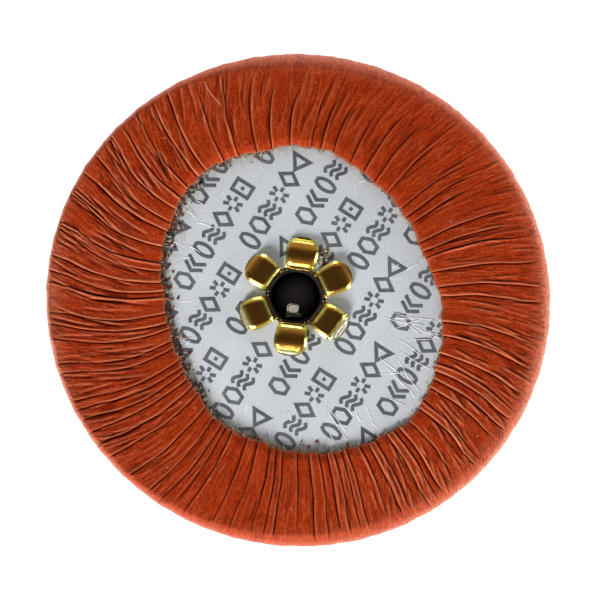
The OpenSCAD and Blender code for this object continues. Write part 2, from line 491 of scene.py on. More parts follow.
def glue_finish():
    """Dried glue and crumbs: tone runs from dark brown through red-brown and olive to cream."""
    finish = Finish("glue_crust", Roughness=0.5)
    tone = finish.attribute("tone")
    speck = finish.noise(finish.place(), 11.0, 4, 0.7)
    low = finish.blend(tone, rgb(0.030, 0.010, 0.004), rgb(0.20, 0.040, 0.014), 0.15, 0.45)
    high = finish.blend(tone, rgb(0.17, 0.15, 0.075), rgb(0.50, 0.46, 0.36), 0.62, 0.8)
    colour = finish.blend(tone, low, high, 0.45, 0.6)
    colour = finish.mix(finish.ramp(speck, 0.5, 0.75, 0.0, 0.6), colour, rgb(0.05, 0.03, 0.02))
    return finish.surface(Base_Color=colour, Normal=finish.bump(speck, 0.03, 0.7))


def fibre_finish(name, pale):
    """Loose fibres: tone runs from red through pink to a pale colour."""
    finish = Finish(name, Roughness=0.7)
    tone = finish.attribute("tone")
    pink = finish.blend(tone, rgb(0.42, 0.09, 0.04), rgb(0.92, 0.42, 0.28), 0.0, 0.5)
    return finish.surface(Base_Color=finish.blend(tone, pink, pale, 0.5, 1.0))


def floor_finish():
    """A white sheet lit from below, as on a light table."""
    finish = Finish("white_sheet", Roughness=0.9, Emission_Color=rgb(1, 1, 1), Emission_Strength=1.0)
    grain = finish.noise(finish.place(), 0.05, 2)
    return finish.surface(Base_Color=finish.mix(grain, rgb(0.55, 0.55, 0.55), rgb(0.6, 0.6, 0.6)))


# ---------------------------------------------------------------- the gathered leather


class Creases:
    """The main creases, each with its own path from the cut edge out over the shoulder."""

    def __init__(self, rng):
        angles = [0.0]
        while True:
            here = math.radians(angles[-1])
            step = float(around(CREASE_GAP, here)) * rng.uniform(0.5, 1.5)
            if angles[-1] + step > 358.0:
                break
            angles.append(angles[-1] + step)
        self.start = np.radians(angles)
        count = len(angles)
        self.lean = np.radians(around(CREASE_LEAN, self.start)) * rng.uniform(0.8, 1.2, count)
        self.bulge = np.radians(around(CREASE_BULGE, self.start)) * rng.uniform(0.6, 1.4, count)
        self.wobble = np.radians(rng.uniform(-0.22, 0.22, (count, 3)))
        self.phase = rng.uniform(0, TURN, (count, 3))
        self.strength = rng.uniform(0.45, 1.0, count)
        self.end = around(CREASE_END, self.start) * rng.uniform(0.85, 1.15, count)
        self.side = np.where(rng.uniform(0, 1, count) < around(LIP_BEFORE, self.start), 1.0, -1.0)

    def paths(self, t):
        """Angles of every crease at each t, which is 0 at the cut edge and 1 at the shoulder."""
        t = t[None, :]
        angle = self.start[:, None] - self.lean[:, None] * t**1.6
        angle = angle + self.bulge[:, None] * np.sin(math.pi * np.clip(t / 0.85, 0, 1))
        for k in range(3):
            wave = np.sin((1.3 + 2.1 * k) * math.pi * t + self.phase[:, k : k + 1])
            angle = angle + self.wobble[:, k : k + 1] * wave / (1 + k)
        return angle

    def depths(self, t):
        """Depth of every crease at each t, in millimetres."""
        t = t[None, :]
        fade = 1 - smooth(self.end[:, None] - 0.3, self.end[:, None], t)
        swell = 0.85 + 0.15 * np.sin(9 * t + self.phase[:, :1])
        taper = np.clip(1 - 0.3 * t - 1.1 * (t - 1).clip(0), 0, 1)
        return CREASE_DEPTH * self.strength[:, None] * fade * swell * taper


def column_plan(gaps):
    """For every column, its pleat and its share of the way across it. Wide pleats get more."""
    share = gaps / gaps.sum() * COLUMNS
    counts = np.maximum(np.round(share).astype(int), 8)
    while counts.sum() != COLUMNS:
        worst = np.argmax((share - counts) * np.sign(COLUMNS - counts.sum()))
        counts[worst] += np.sign(COLUMNS - counts.sum())
    pleat = np.repeat(np.arange(len(counts)), counts)
    across = np.concatenate([np.arange(n) / n for n in counts])
    return pleat, across


def fold_profile(distance, is_lip):
    """Height beside a crease for a depth of 1: a rolled lip on one side, a slope on the other."""
    slope = -0.84 * np.exp(-((distance / 0.05) ** 2)) - 0.16 * np.exp(-distance / 0.20)
    lip = -np.exp(-((distance / 0.04) ** 2)) + lip_bulge(distance)
    return np.where(is_lip, lip, slope)


def lip_bulge(distance):
    """The rolled edge of a pleat, a little back from its crease."""
    return 0.34 * np.exp(-(((distance - 0.105) / 0.05) ** 2))


def long_wrinkles(rng, angle, reach, t):
    """Slanting wrinkles between the creases: (height, painted shade) at each point."""
    height = np.zeros_like(angle)
    dark = np.zeros_like(angle)
    for _ in range(WRINKLES):
        at = rng.uniform(0, TURN)
        local = float(around(FAN_STRENGTH, at))
        lean = math.radians(float(around(FAN_LEAN, at))) * rng.uniform(0.35, 1.1)
        first = rng.uniform(0.1, 0.8)
        last = first + rng.uniform(0.25, 0.6)
        bend = math.radians(0.25) * np.sin(7 * t + at * 9)
        away = (np.mod(angle - at - lean * (1 - t) - bend + math.pi, TURN) - math.pi) * reach
        span = smooth(first, first + 0.1, t) * (1 - smooth(last - 0.15, last, t))
        cut = (0.03 + 0.06 * local) * rng.uniform(0.4, 1.2) * span
        groove_and_shade = np.exp(-((away / WRINKLE_W) ** 2))
        lip = np.exp(-(((away + 2.0 * WRINKLE_W) / (1.2 * WRINKLE_W)) ** 2))
        height += cut * (0.7 * lip - groove_and_shade)
        dark += cut * groove_and_shade
    return height, dark


def rim_curve(angle, s):
    """Distance in from the outline, height, and outward normal, from the shoulder (s = 0) round
    to the widest line of the rim (s = 1)."""
    width = around(SHOULDER_W, angle)
    soft = around(SHOULDER_SOFT, angle)
    inward = [width, width * (1 - soft), 0.04 + 0 * width, 0 * width]
    heights = [0 * width - 0.02, 0 * width - 0.02, WIDEST_Z * (0.35 + 0.2 * soft), 0 * width + WIDEST_Z]
    weights = [(1 - s) ** 3, 3 * s * (1 - s) ** 2, 3 * s**2 * (1 - s), s**3]
    slopes = [-3 * (1 - s) ** 2, 3 * (1 - s) * (1 - 3 * s), 3 * s * (2 - 3 * s), 3 * s**2]
    inset = sum(w * p for w, p in zip(weights, inward))
    height = sum(w * p for w, p in zip(weights, heights))
    across = -sum(w * p for w, p in zip(slopes, inward))
    down = sum(w * p for w, p in zip(slopes, heights))
    length = np.sqrt(across**2 + down**2) + 1e-9
    return inset, height, -down / length, across / length


def opening_radius(angle):
    """Radius of the leather's cut edge, with small scallops."""
    jag = 0.05 * np.sin(23 * angle + 2) + 0.04 * np.sin(57 * angle)
    return around(OPENING_R, angle) + jag


def gathered_back(rng):
    """The pleated back and rounded rim, as columns by rows: angle, reach, height, the angles that
    the pleats (flow) and the slanting wrinkles (fan) run along, and the shades for the finish."""
    creases = Creases(rng)
    s = np.linspace(0, 1, RIM_ROWS)[1:]
    t = np.concatenate([np.linspace(0, 1, BACK_ROWS), 1 + 0.5 * s])
    back = t <= 1
    paths = creases.paths(np.minimum(t, 1))
    paths = np.vstack([paths, paths[:1] + TURN])
    depths = creases.depths(t)
    depths = np.vstack([depths, depths[:1]])
    starts = np.append(creases.start, creases.start[0] + TURN)
    side = np.append(creases.side, creases.side[0])
    pleat, across = column_plan(np.diff(starts))

    even = across[:, None]
    bunched = 0.5 - 0.5 * np.cos(math.pi * even)
    u = even + (bunched - even) * 0.85 * (1 - 0.6 * smooth(0.7, 1.1, t))[None, :]
    angle = paths[pleat] + u * (paths[pleat + 1] - paths[pleat])
    flow = starts[pleat] + across * (starts[pleat + 1] - starts[pleat])

    jag = rng.normal(0, 0.018, (COLUMNS, 1)) - 0.05 * np.sin(math.pi * even)
    opening = opening_radius(angle[:, :1]) + jag
    edge_angle = angle[:, -1:]
    shoulder = outline_radius(edge_angle) - around(SHOULDER_W, edge_angle)
    inset, rim_height, rim_out, rim_up = rim_curve(np.repeat(edge_angle, RIM_ROWS - 1, axis=1), s[None, :])
    rim_reach = outline_radius(edge_angle) - inset + rng.normal(0, 0.032, (COLUMNS, 1)) * s * (1 - s)
    reach = np.hstack([opening + (shoulder - opening) * t[None, back], rim_reach])
    out = np.hstack([np.zeros((COLUMNS, BACK_ROWS)), rim_out])
    up = np.hstack([np.ones((COLUMNS, BACK_ROWS)), rim_up])

    width = (paths[pleat + 1] - paths[pleat]) * reach
    relief, roll, dark, ridge_highlight = (np.zeros_like(u) for _ in range(4))
    for crease, share, way in ((pleat, u, -1), (pleat + 1, 1 - u, 1)):
        away = share * width
        depth = depths[crease]
        lip = (side[crease] * way > 0)[:, None]
        relief += depth * fold_profile(away, lip)
        roll += way * (away / LIP_ROLL) * np.exp(1 - away / LIP_ROLL) * depth * lip
        # dark: the painted shade down each crease
        dark += depth * np.exp(-((away / CREASE_W) ** 2))
        # the mask for the painted highlight on the lip
        ridge_highlight += depth * lip * lip_bulge(away)
    angle = angle + 0.25 * roll / reach
    wrinkle, wrinkle_dark = long_wrinkles(rng, angle, reach, np.broadcast_to(t, angle.shape))

    pillow = 0.035 * (4 * u * (1 - u)) ** 0.8 * np.clip(1 - 0.7 * t, 0, 1)[None, :]
    from_cut = reach - opening
    base = -EDGE_DROP + (EDGE_DROP - 0.05) * smooth(-0.15, 0.55, from_cut)
    height = np.hstack([base[:, back], rim_height]) + (relief + pillow + wrinkle) * up
    height = np.where(back, np.maximum(height, CARD_Z + 0.04), height)
    reach = reach + (relief + wrinkle) * out

    fan_window = smooth(0.15, 0.4, t) * (1 - smooth(1.1, 1.4, t))
    # Masks for the finish: painted shade in creases, painted highlight on lips, rim wear with painted sheen,
    # the cut edge, the wrinkles.
    shade = {
        "groove_and_shade": np.clip(dark / 0.20 + wrinkle_dark / 0.20, 0, 1),
        # painted highlight on the lips, scaled round the disc by RIDGE_SHINE
        "ridge_highlight": np.clip(ridge_highlight / 0.10 + np.maximum(wrinkle, 0) / 0.10, 0, 0.9) * around(RIDGE_SHINE, angle),
        "wear_and_sheen": around(RIM_WEAR_AND_SHEEN, angle) * rim_wear_and_sheen(angle, t[None, :]),
        "cut": 0.45 * (1 - smooth(0.02, 0.12, from_cut)),
        "fanned": around(FAN_STRENGTH, angle) * fan_window[None, :],
    }
    fan = angle - np.radians(around(FAN_LEAN, angle)) * (1 - t)[None, :]
    return angle, reach, height, flow, fan, shade


def rim_wear_and_sheen(angle, t):
    """How far the nap is roughened and paled, with a painted sheen: a little on the shoulder, fully at the
    widest line.
    """
    return 0.22 * smooth(0.88, 1.08, t) + 0.78 * smooth(around(RIM_START, angle), 1.5, t)


def leather_skin(material):
    """The whole skin as one closed sheet: back, rim, side, playing face, and its inner side."""
    rng = np.random.default_rng(11)
    angle, reach, height, flow, fan, shade = gathered_back(rng)
    rows, marks, lines = [], [], []
    for i in range(angle.shape[1]):
        rows.append((angle[:, i], reach[:, i], height[:, i]))
        marks.append([shade[key][:, i] for key in SHADES])
        lines.append((flow, fan[:, i]))

    def ring(step, radius, z, wear_and_sheen=0.0, cut=0.0):
        """A row under every step-th column. A radius below zero is measured in from the outline."""
        angles = angle[::step, -1]
        if radius < 0:
            radius = outline_radius(angles) + radius
        flat = 0 * angles
        rows.append((angles, radius + flat, z + flat))
        marks.append([flat, flat, flat + wear_and_sheen, flat + cut, flat])
        lines.append((flow[::step], fan[::step, -1]))

    # Rows down the side of the rim: inset, height, and the share of wear with painted sheen.
    side = (
        (0.02, -2.5, 0.4), (0.08, -3.0, 0.12), (0.2, -3.5, 0.08), (0.42, -3.85, 0.08),
        (0.75, -4.1, 0.04), (1.1, FRONT_Z, 0.0),
    )
    for inset, z, wear in side:
        ring(2, -inset, z, wear * around(RIM_WEAR_AND_SHEEN, angle[::2, -1]))
    playing_face = ((13.6, FRONT_Z), (12.0, FRONT_Z), (11.0, FRONT_Z + 0.005), (10.5, FRONT_Z + 0.04))
    recess = ((10.2, -4.02), (9.95, -3.8), (9.7, -3.64), (SEAT_R - 0.15, SEAT_Z))
    for radius, z in playing_face + recess:
        ring(4, radius, z)
    inner_z = SEAT_Z + SKIN_T
    ring(8, 5.0, SEAT_Z)
    ring(8, HOLE_R, SEAT_Z)
    ring(8, HOLE_R, inner_z, 0.0, 1.0)
    ring(8, 5.0, inner_z)
    ring(4, 9.4, inner_z)
    ring(4, 10.1, FRONT_Z + SKIN_T)
    ring(2, -1.1, FRONT_Z + SKIN_T)
    ring(2, -0.37, -3.2)
    ring(2, -0.35, -1.4)
    ring(2, -1.2, CARD_Z + 0.02)
    cut_angle, cut_r, cut_z = rows[0]
    flat = 0 * cut_r
    foot, middle = (cut_r + 0.02, CARD_Z + 0.012, 1.0), (cut_r - 0.025, 0.5 * (cut_z + CARD_Z), 0.9)
    for radius, z, cut in (foot, middle):
        rows.append((cut_angle, radius, z + flat))
        marks.append([flat, flat, flat, flat + cut, flat])
        lines.append((flow, fan[:, 0]))

    points = [polar(r, a, z) for a, r, z in rows]
    counts = [len(a) for a, _, _ in rows]
    starts = np.concatenate([[0], np.cumsum(counts)[:-1]])
    faces = []
    for i in range(len(rows)):
        j = (i + 1) % len(rows)
        faces += bridge(int(starts[i]), counts[i], int(starts[j]), counts[j])
    attributes = {key: np.concatenate([m[k] for m in marks]) for k, key in enumerate(SHADES)}
    travel = np.cumsum([0.0] + [
        math.dist((np.mean(a[1]), np.mean(a[2])), (np.mean(b[1]), np.mean(b[2])))
        for a, b in zip(rows, rows[1:])
    ])
    for k, key in enumerate(("flow", "fan")):
        place = [polar(14.0 + 0 * line[k], line[k], far) for line, far in zip(lines, travel)]
        attributes[key] = np.concatenate(place)
    points = np.concatenate(points)
    skin = make_piece("leather_skin_pleated", points, faces, material, attributes, None)
    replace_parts(skin, "leather_skin")


# ---------------------------------------------------------------- the layers inside the leather


def cushion_and_board(felt_material, board_material):
    """The felt and the stiff card, cut a little inside the leather's outline."""
    felt_low = FRONT_Z + SKIN_T + 0.01
    felt_seat = SEAT_Z + SKIN_T + 0.01
    felt = [
        (HOLE_R, felt_seat), (9.4, felt_seat), (10.15, felt_low), (-1.15, felt_low), (-0.6, -3.5),
        (-0.42, -3.1), (-0.42, FELT_Z), (HOLE_R, FELT_Z),
    ]
    points, faces = turned(felt, 128)
    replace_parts(make_piece("felt_disc", points, faces, felt_material), "felt_cushion")
    board = [(HOLE_R, FELT_Z), (-0.75, FELT_Z), (-1.25, BOARD_Z), (HOLE_R, BOARD_Z)]
    points, faces = turned(board, 128)
    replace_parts(make_piece("board_disc", points, faces, board_material), "backing_board")


def printed_card(material):
    """The paper on the card, stained near the cut edge and under a dab of glue at one side."""
    radii = [HOLE_R, 2.4, 2.8, 3.2, 3.6, 4.0, 5.0, 6.0] + list(np.arange(6.6, 11.6, 0.16)) + [-1.35]
    profile = [(r, CARD_Z) for r in radii] + [(-1.35, BOARD_Z), (HOLE_R, BOARD_Z)]
    points, faces = turned(profile, 256)
    angle = np.arctan2(points[:, 1], points[:, 0])
    reach = np.hypot(points[:, 0], points[:, 1])
    inside = np.clip(opening_radius(angle) - reach, 0, None)
    width = 0.22 + 0.55 * around(STAIN, angle)
    stain = around(STAIN, angle) * np.exp(-((inside / width) ** 1.5))
    smear = np.hypot(points[:, 0] - 1.9, points[:, 1] - 2.75)
    stain = stain + 0.75 * np.exp(-((smear / 0.55) ** 2))
    attributes = {"stain": np.clip(stain, 0, 1)}
    card = make_piece("printed_card", points, faces, material, attributes)
    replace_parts(card, "card_liner")


# ---------------------------------------------------------------- the printed pattern

ROW_PITCH = 2.2
MOTIF_H = 1.3
MOTIF_STEP = 1.17
STROKE = 0.235
GROUPS = (7, 6)                 # motifs in each group along a row
GROUP_GAP = 1.35
ROW_ANGLE = math.radians(-122.3)


def curve(centre_x, centre_y, wide, high, begin, end, steps=14):
    """Points along part of an ellipse, in a motif's unit square. Angles are in degrees."""
    turn = np.radians(np.linspace(begin, end, steps))
    return [(centre_x + wide * math.cos(a), centre_y + high * math.sin(a)) for a in turn]


# Every motif is a list of (points, closed) strokes in a unit square.
MOTIFS = {
    "lozenge": [([(0.05, 0.5), (0.5, 1.0), (0.95, 0.5), (0.5, 0.0)], True)],
    "hexagon": [(curve(0.5, 0.5, 0.46, 0.5, 0, 300, 6), True)],
    "petal": [(curve(0.28, 0.5, 0.55, 0.62, -52, 52, 8) + curve(0.72, 0.5, 0.55, 0.62, 128, 232, 8), True)],
    "ripples": [([(x / 12, high + 0.13 * math.sin(x * TURN / 12)) for x in range(13)], False)
                for high in (0.18, 0.52, 0.86)],
    "spokes": [([(0.5 + near * math.cos(a), 0.5 + near * math.sin(a)) for near in (0.2, 0.52)], False)
               for a in np.arange(6) * TURN / 6],
    "frame": [([(0.1, 0.05), (0.9, 0.05), (0.9, 0.95), (0.1, 0.95)], True),
              ([(0.38, 0.5), (0.62, 0.5)], False)],
    "chevrons": [([(0.05, 0.0), (0.45, 0.5), (0.05, 1.0)], False),
                 ([(0.5, 0.0), (0.9, 0.5), (0.5, 1.0)], False)],
    "wedge": [([(0.05, 0.05), (0.95, 0.5), (0.05, 0.95)], True)],
}
MOTIF_ORDER = (
    "frame", "spokes", "lozenge", "ripples", "petal", "chevrons", "hexagon",
    "wedge", "lozenge", "spokes", "ripples", "hexagon", "petal",
)


def ribbon(shape, path, closed, z):
    """A flat stroke of the print's width along a path, with mitred corners."""
    path = np.asarray(path, float)
    ahead = np.roll(path, -1, axis=0) - path
    if not closed:
        ahead[-1] = ahead[-2]
    ahead /= np.linalg.norm(ahead, axis=1, keepdims=True)
    behind = np.roll(ahead, 1, axis=0)
    if not closed:
        behind[0] = ahead[0]
    both = ahead + behind
    mitre = np.stack([-both[:, 1], both[:, 0]], axis=1) / (1 + np.sum(ahead * behind, axis=1))[:, None]
    left, right = path + 0.5 * STROKE * mitre, path - 0.5 * STROKE * mitre
    count = len(path)
    flat = np.concatenate([left, right])
    points = np.column_stack([flat, np.full(2 * count, z)])
    last = count if closed else count - 1
    faces = [(i, (i + 1) % count, count + (i + 1) % count, count + i) for i in range(last)]
    shape.add(points, faces)


def print_pattern(material):
    """Rows of small geometric motifs, in two lengths of group, printed across the card."""
    shape = Shape()
    along = np.array([math.cos(ROW_ANGLE), math.sin(ROW_ANGLE)])
    upward = np.array([-along[1], along[0]])
    repeat = sum(GROUPS) * MOTIF_STEP + 2 * GROUP_GAP
    for row in range(-6, 7):
        start = -2.4 * repeat + row * 5.1
        for k in range(5 * sum(GROUPS)):
            lap, place = divmod(k, sum(GROUPS))
            gap = GROUP_GAP if place >= GROUPS[0] else 0.0
            corner = start + lap * repeat + place * MOTIF_STEP + gap
            centre = along * (corner + 0.5) + upward * row * ROW_PITCH
            reach = np.hypot(*centre)
            if reach < 2.9 or reach > opening_radius(math.atan2(centre[1], centre[0])) + 0.2:
                continue
            for path, closed in MOTIFS[MOTIF_ORDER[place]]:
                path = np.asarray(path)
                spot = corner + path[:, :1] * 0.98
                lift = row * ROW_PITCH + (path[:, 1:] - 0.5) * MOTIF_H
                ribbon(shape, spot * along + lift * upward, closed, CARD_Z + 0.008)
    shape.piece("card_print", material, "liner", None)


# ---------------------------------------------------------------- glue crumbs and loose fibres

CRUMBS = 2300           # crumbs tried along the cut edge
DAB_CRUMBS = 26         # crumbs in the dab of glue on the card
EDGE_FIBRES = 430
NAP_FIBRES = 2300       # fibres tried round the widest line of the rim
OLIVE = [0.5, 0.5, 0.4, 0.3, 0.3, 0.1, 0, 0.1, 0.6, 0.7, 0.6, 0.5]      # share of olive crumbs


def ball(subdivisions):
    """Points and faces of a unit ball."""
    work = bmesh.new()
    bmesh.ops.create_icosphere(work, subdivisions=subdivisions, radius=1.0)
    points = np.array([v.co[:] for v in work.verts])
    faces = [tuple(v.index for v in f.verts) for f in work.faces]
    work.free()
    return points, faces


def glue_crust(material):
    """Dried glue, leather dust and torn paper along the cut edge, and a dab of glue on the card."""
    rng = np.random.default_rng(23)
    shape = Shape()
    points, faces = ball(2)

    def drop(lump, tone):
        """Adds a crumb that is pressed against the card."""
        lump[:, 2] = np.maximum(lump[:, 2], CARD_Z - 0.02)
        shape.add(lump, faces, tone)

    made = 0
    while made < CRUMBS:
        angle = rng.uniform(0, TURN)
        local = float(around(CRUST, angle))
        if rng.uniform() > local**1.2 + 0.06:
            continue
        made += 1
        back = rng.exponential(0.04 + 0.17 * local**2) - 0.07
        if back > 0.9:
            continue
        reach = float(opening_radius(angle)) - back
        size = rng.uniform(0.02, 0.05 + 0.055 * local)
        height = CARD_Z + 0.5 * size + rng.uniform(0, 0.22) * max(0.0, 1 - back / 0.5)
        stretch = size * rng.uniform(0.5, 1.3, 3) * (1.7, 0.8, 0.5)
        lump = points * stretch * (1 + 0.25 * rng.normal(0, 1, (len(points), 1)))
        turn = rng.uniform(0, TURN)
        cosine, sine = math.cos(turn), math.sin(turn)
        spin = np.array([[cosine, sine, 0], [-sine, cosine, 0], [0, 0, 1]])
        lump = lump @ spin + polar(reach, angle, height)
        olive = float(around(OLIVE, angle))
        pick = rng.uniform()
        tone = 0.95 if pick > 0.94 else 0.68 if pick < olive else rng.uniform(0.1, 0.55)
        drop(lump, tone)
    for _ in range(DAB_CRUMBS):
        size = rng.uniform(0.05, 0.13)
        lump = points * size * rng.uniform(0.6, 1.4, 3) * (1 + 0.2 * rng.normal(0, 1, (len(points), 1)))
        lump += (1.85 + rng.normal(0, 0.22), 2.55 + rng.normal(0, 0.35), CARD_Z + 0.4 * size)
        drop(lump, rng.choice([0.3, 0.55, 0.95]))
    crust = shape.piece("glue_crust", material, "glue")
    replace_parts(crust, "glue_bead")


def fibre(shape, rng, start, heading, length, thickness, tone, curl=0.8, lift=0.12, low=CARD_Z):
    """One thin curved fibre lying nearly flat, and nowhere below the height low."""
    steps = 6
    turn = heading + np.cumsum(rng.normal(0, curl / steps, steps))
    move = np.stack([np.cos(turn), np.sin(turn), rng.normal(0, lift, steps)], axis=1) * length / steps
    path = np.concatenate([[start], start + np.cumsum(move, axis=0)])
    path[:, 2] = np.maximum(path[:, 2], low + 0.3 * thickness)
    radii = thickness * np.array([0.9, 1, 1, 1, 0.9, 0.7, 0.3])
    points, faces = tube_mesh(path, radii, 5)
    shape.add(points, faces, tone)


def card_scuffs(material):
    """Fine white scratches and raised paper fibres on the card."""
    rng = np.random.default_rng(41)
    shape = Shape()
    clusters = ((-46, -8, 14, 2.4), (138, 168, 6, 1.0), (0, 360, 20, 0.8), (285, 305, 5, 1.6))
    for first, last, count, length in clusters:
        for _ in range(count):
            angle = math.radians(rng.uniform(first, last))
            reach = float(opening_radius(angle)) * rng.uniform(0.80, 0.99)
            start = polar(reach, angle, CARD_Z + 0.008)
            heading = angle + math.pi + rng.normal(0.1, 0.25)
            fibre(shape, rng, start, heading, length * rng.uniform(0.5, 1.3), 0.028, 1.0, 0.5, 0.0)
    shape.piece("card_scuffs", material, "liner", None)


def loose_fibres(material):
    """Short fibres at the cut edge, a few stray ones on the card, the nap round the widest line of
    the rim, and one hair on the leather."""
    rng = np.random.default_rng(31)
    shape = Shape()
    for _ in range(EDGE_FIBRES):
        angle = rng.uniform(0, TURN)
        reach = float(opening_radius(angle)) + rng.normal(0, 0.05)
        start = polar(reach, angle, rng.uniform(-0.62, -0.38))
        heading = angle + math.pi + rng.normal(0, 1.0)
        fibre(shape, rng, start, heading, rng.uniform(0.12, 0.4), 0.014, rng.choice([0.1, 0.55, 1.0]))
    strays = (
        (3.75, 8.2, 0.9, 1.5), (3.5, 8.0, 0.2, 1.1), (2.6, 8.4, 5.2, 1.0),
        (4.1, 8.6, 1.3, 0.9), (2.45, 8.9, 5.6, 0.8),
    )
    for angle, reach, heading, length in strays:
        fibre(shape, rng, polar(reach, angle, CARD_Z + 0.03), heading, length, 0.016, 0.9)
    for _ in range(NAP_FIBRES):
        angle = rng.uniform(0, TURN)
        if rng.uniform() > float(around(RIM_NAP, angle)):
            continue
        start = polar(float(outline_radius(angle)) - 0.05, angle, rng.uniform(-2.9, -1.5))
        heading = angle + rng.normal(0, 0.8)
        length = rng.uniform(0.08, 0.19)
        fibre(shape, rng, start, heading, length, 0.010, rng.uniform(0.4, 0.8), low=FRONT_Z)
    turn = np.linspace(0, 1, 9)
    hair = np.stack([-5.85 + 1.05 * turn, 13.8 - 1.5 * turn**0.7, 0.06 + 0.05 * np.sin(3 * turn)], axis=1)
    points, faces = tube_mesh(hair, np.full(9, 0.014), 6)
    shape.add(points, faces, 0.7)
    shape.piece("loose_fibres", material, "leather", None)


# ---------------------------------------------------------------- the rivet

BORE_R = 1.6
TUBE_R = 1.85
FLANGE_R = 3.0
FLANGE_T = 0.25
BOTTOM_ROWS = 8         # rows of the section below that make the bottom of the bore
PETALS = (
    # direction in degrees, reach of the tip, half width, roundness of the arch, scored lines, and
    # where the painted dark reflection on the top ends and how strong the painted silvery tip highlight is
    (24.9, 3.90, 1.02, 0.5, 0.0, 1.05, 0.0), (81.5, 3.88, 1.04, 1.0, 0.0, 0.88, 0.1),
    (143.0, 3.78, 1.00, 0.4, 0.0, 1.05, 0.0), (203.0, 3.84, 1.00, 0.6, 0.0, 0.78, 0.5),
    (263.4, 3.86, 1.06, 0.9, 0.0, 0.84, 0.7), (323.6, 3.90, 1.04, 0.6, 0.040, 0.74, 1.0),
)


def petal(shape, direction, tip, half_width, roundness, scored, top_end, tip_glint_strength):
    """One splayed petal as a closed shell: it rolls out of the bore, arches, and bends down."""
    rows, columns = 60, 19
    s = np.linspace(0, 1, rows)[:, None]
    w = np.linspace(-1, 1, columns)[None, :]
    reach = BORE_R + 0.02 + (tip - BORE_R - 0.02) * (0.12 * s**0.5 + 0.88 * s)
    corner = np.clip((s - 0.62) / 0.38, 0, 0.985)
    spread = half_width * (0.86 + 0.14 * smooth(0.0, 0.5, s)) * (1 - corner**2.3) ** (1 / 2.3)
    y = spread * w
    x = reach + 0 * w - 0.06 * (y / half_width) ** 2 * s
    middle = 0.5 * (BORE_R + tip)
    crest = -0.10 - 0.16 * roundness * ((x - middle) / 0.75) ** 2
    root = -0.70 * np.exp(-(((x - BORE_R) / 0.15) ** 1.3))
    bend = -0.42 * smooth(tip - 0.42, tip + 0.12, x) - 0.05 * smooth(tip - 0.8, tip - 0.3, x)
    edge = np.clip((np.abs(y) - (spread - 0.24)) / 0.24, 0, 1) * np.where(spread > 0.3, 1, 0)
    lines = scored * np.sin((tip - x) * TURN / 0.17) * smooth(tip - 0.75, tip - 0.6, x)
    top = crest + root + bend - 0.17 * edge + lines
    top = np.maximum(top, CARD_Z + 0.12)
    bottom = np.maximum(top - 0.2, CARD_Z + 0.012)
    # painted dark reflection on the flat top of the petal
    top_reflection_mask = (1 - smooth(0.1, 0.7, edge)) * smooth(0.10, 0.25, s) * (1 - smooth(top_end - 0.1, top_end, s))
    # painted highlight on the tip, only on petals turned towards the key light
    tip_glint_mask = tip_glint_strength * smooth(top_end - 0.02, top_end + 0.06, s) * (1 - smooth(0.3, 0.9, edge))
    # tone: painted top reflection, painted shade where the petal rolls into the bore, less the painted tip
    # highlight
    tone = 0.5 * top_reflection_mask + (1 - smooth(0.0, 0.07, s)) - tip_glint_mask
    tone = np.concatenate([np.clip(tone, -1, 1).ravel(), np.zeros(rows * columns)])
    turn = math.radians(direction)
    across = np.array([-math.sin(turn), math.cos(turn)])
    outward = np.array([math.cos(turn), math.sin(turn)])
    points = []
    for height in (top, bottom):
        flat = x[..., None] * outward + y[..., None] * across
        points.append(np.concatenate([flat, (height + 0 * x)[..., None]], axis=-1).reshape(-1, 3))
    size = rows * columns
    grid = np.arange(size).reshape(rows, columns)
    upper = np.stack([grid[:-1, :-1], grid[:-1, 1:], grid[1:, 1:], grid[1:, :-1]], axis=-1).reshape(-1, 4)
    lower = size + upper[:, [0, 3, 2, 1]]
    border = np.concatenate([grid[0], grid[1:, -1], grid[-1, -2::-1], grid[-2:0:-1, 0]])
    after = np.roll(border, -1)
    sides = np.stack([border, size + border, size + after, after], axis=1)
    faces = np.concatenate([np.stack([upper, lower], axis=1).reshape(-1, 4), sides])
    shape.add(np.concatenate(points), faces, tone)


def star_rivet(material):
    """The rivet: a tube with a flange and a rounded bottom inside it, splayed into six petals,
    with a small burr at each side of every slit."""
    shape = Shape()
    flange_z = RIVET_LOW + FLANGE_T
    section = [
        (0.02, -2.0), (0.5, -2.06), (0.95, -2.3), (1.25, -2.7), (1.42, -3.2), (1.5, -3.6), (BORE_R, -3.7),
        (BORE_R, -2.0), (BORE_R, -1.0), (1.61, -0.88), (1.68, -0.78), (1.76, -0.74), (1.84, -0.77),
        (1.87, -0.82), (TUBE_R, -0.90), (TUBE_R, flange_z), (FLANGE_R, flange_z),
        (FLANGE_R, RIVET_LOW),
        (0.02, RIVET_LOW),
    ]
    columns = 96
    points, faces = turned(section, columns, capped=True)
    # painted shade: dark grey at the bottom of the bore, near black over the rest of the tube
    tone = np.where(np.arange(len(points)) < BOTTOM_ROWS * columns, 1.0, 0.87)
    shape.add(points, faces, tone)
    for values in PETALS:
        petal(shape, *values)
    burr_points, burr_faces = ball(1)
    for direction in (51, 112, 173, 233, 293, 354):
        for offset in (-3.5, 4.0):
            spot = polar(1.80, math.radians(direction + offset), -0.46)
            shape.add(burr_points * (0.075, 0.06, 0.05) + spot, burr_faces, 0.0)
    rivet = shape.piece("splayed_rivet", material, "rivet", math.radians(38))
    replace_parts(rivet, "star_rivet")


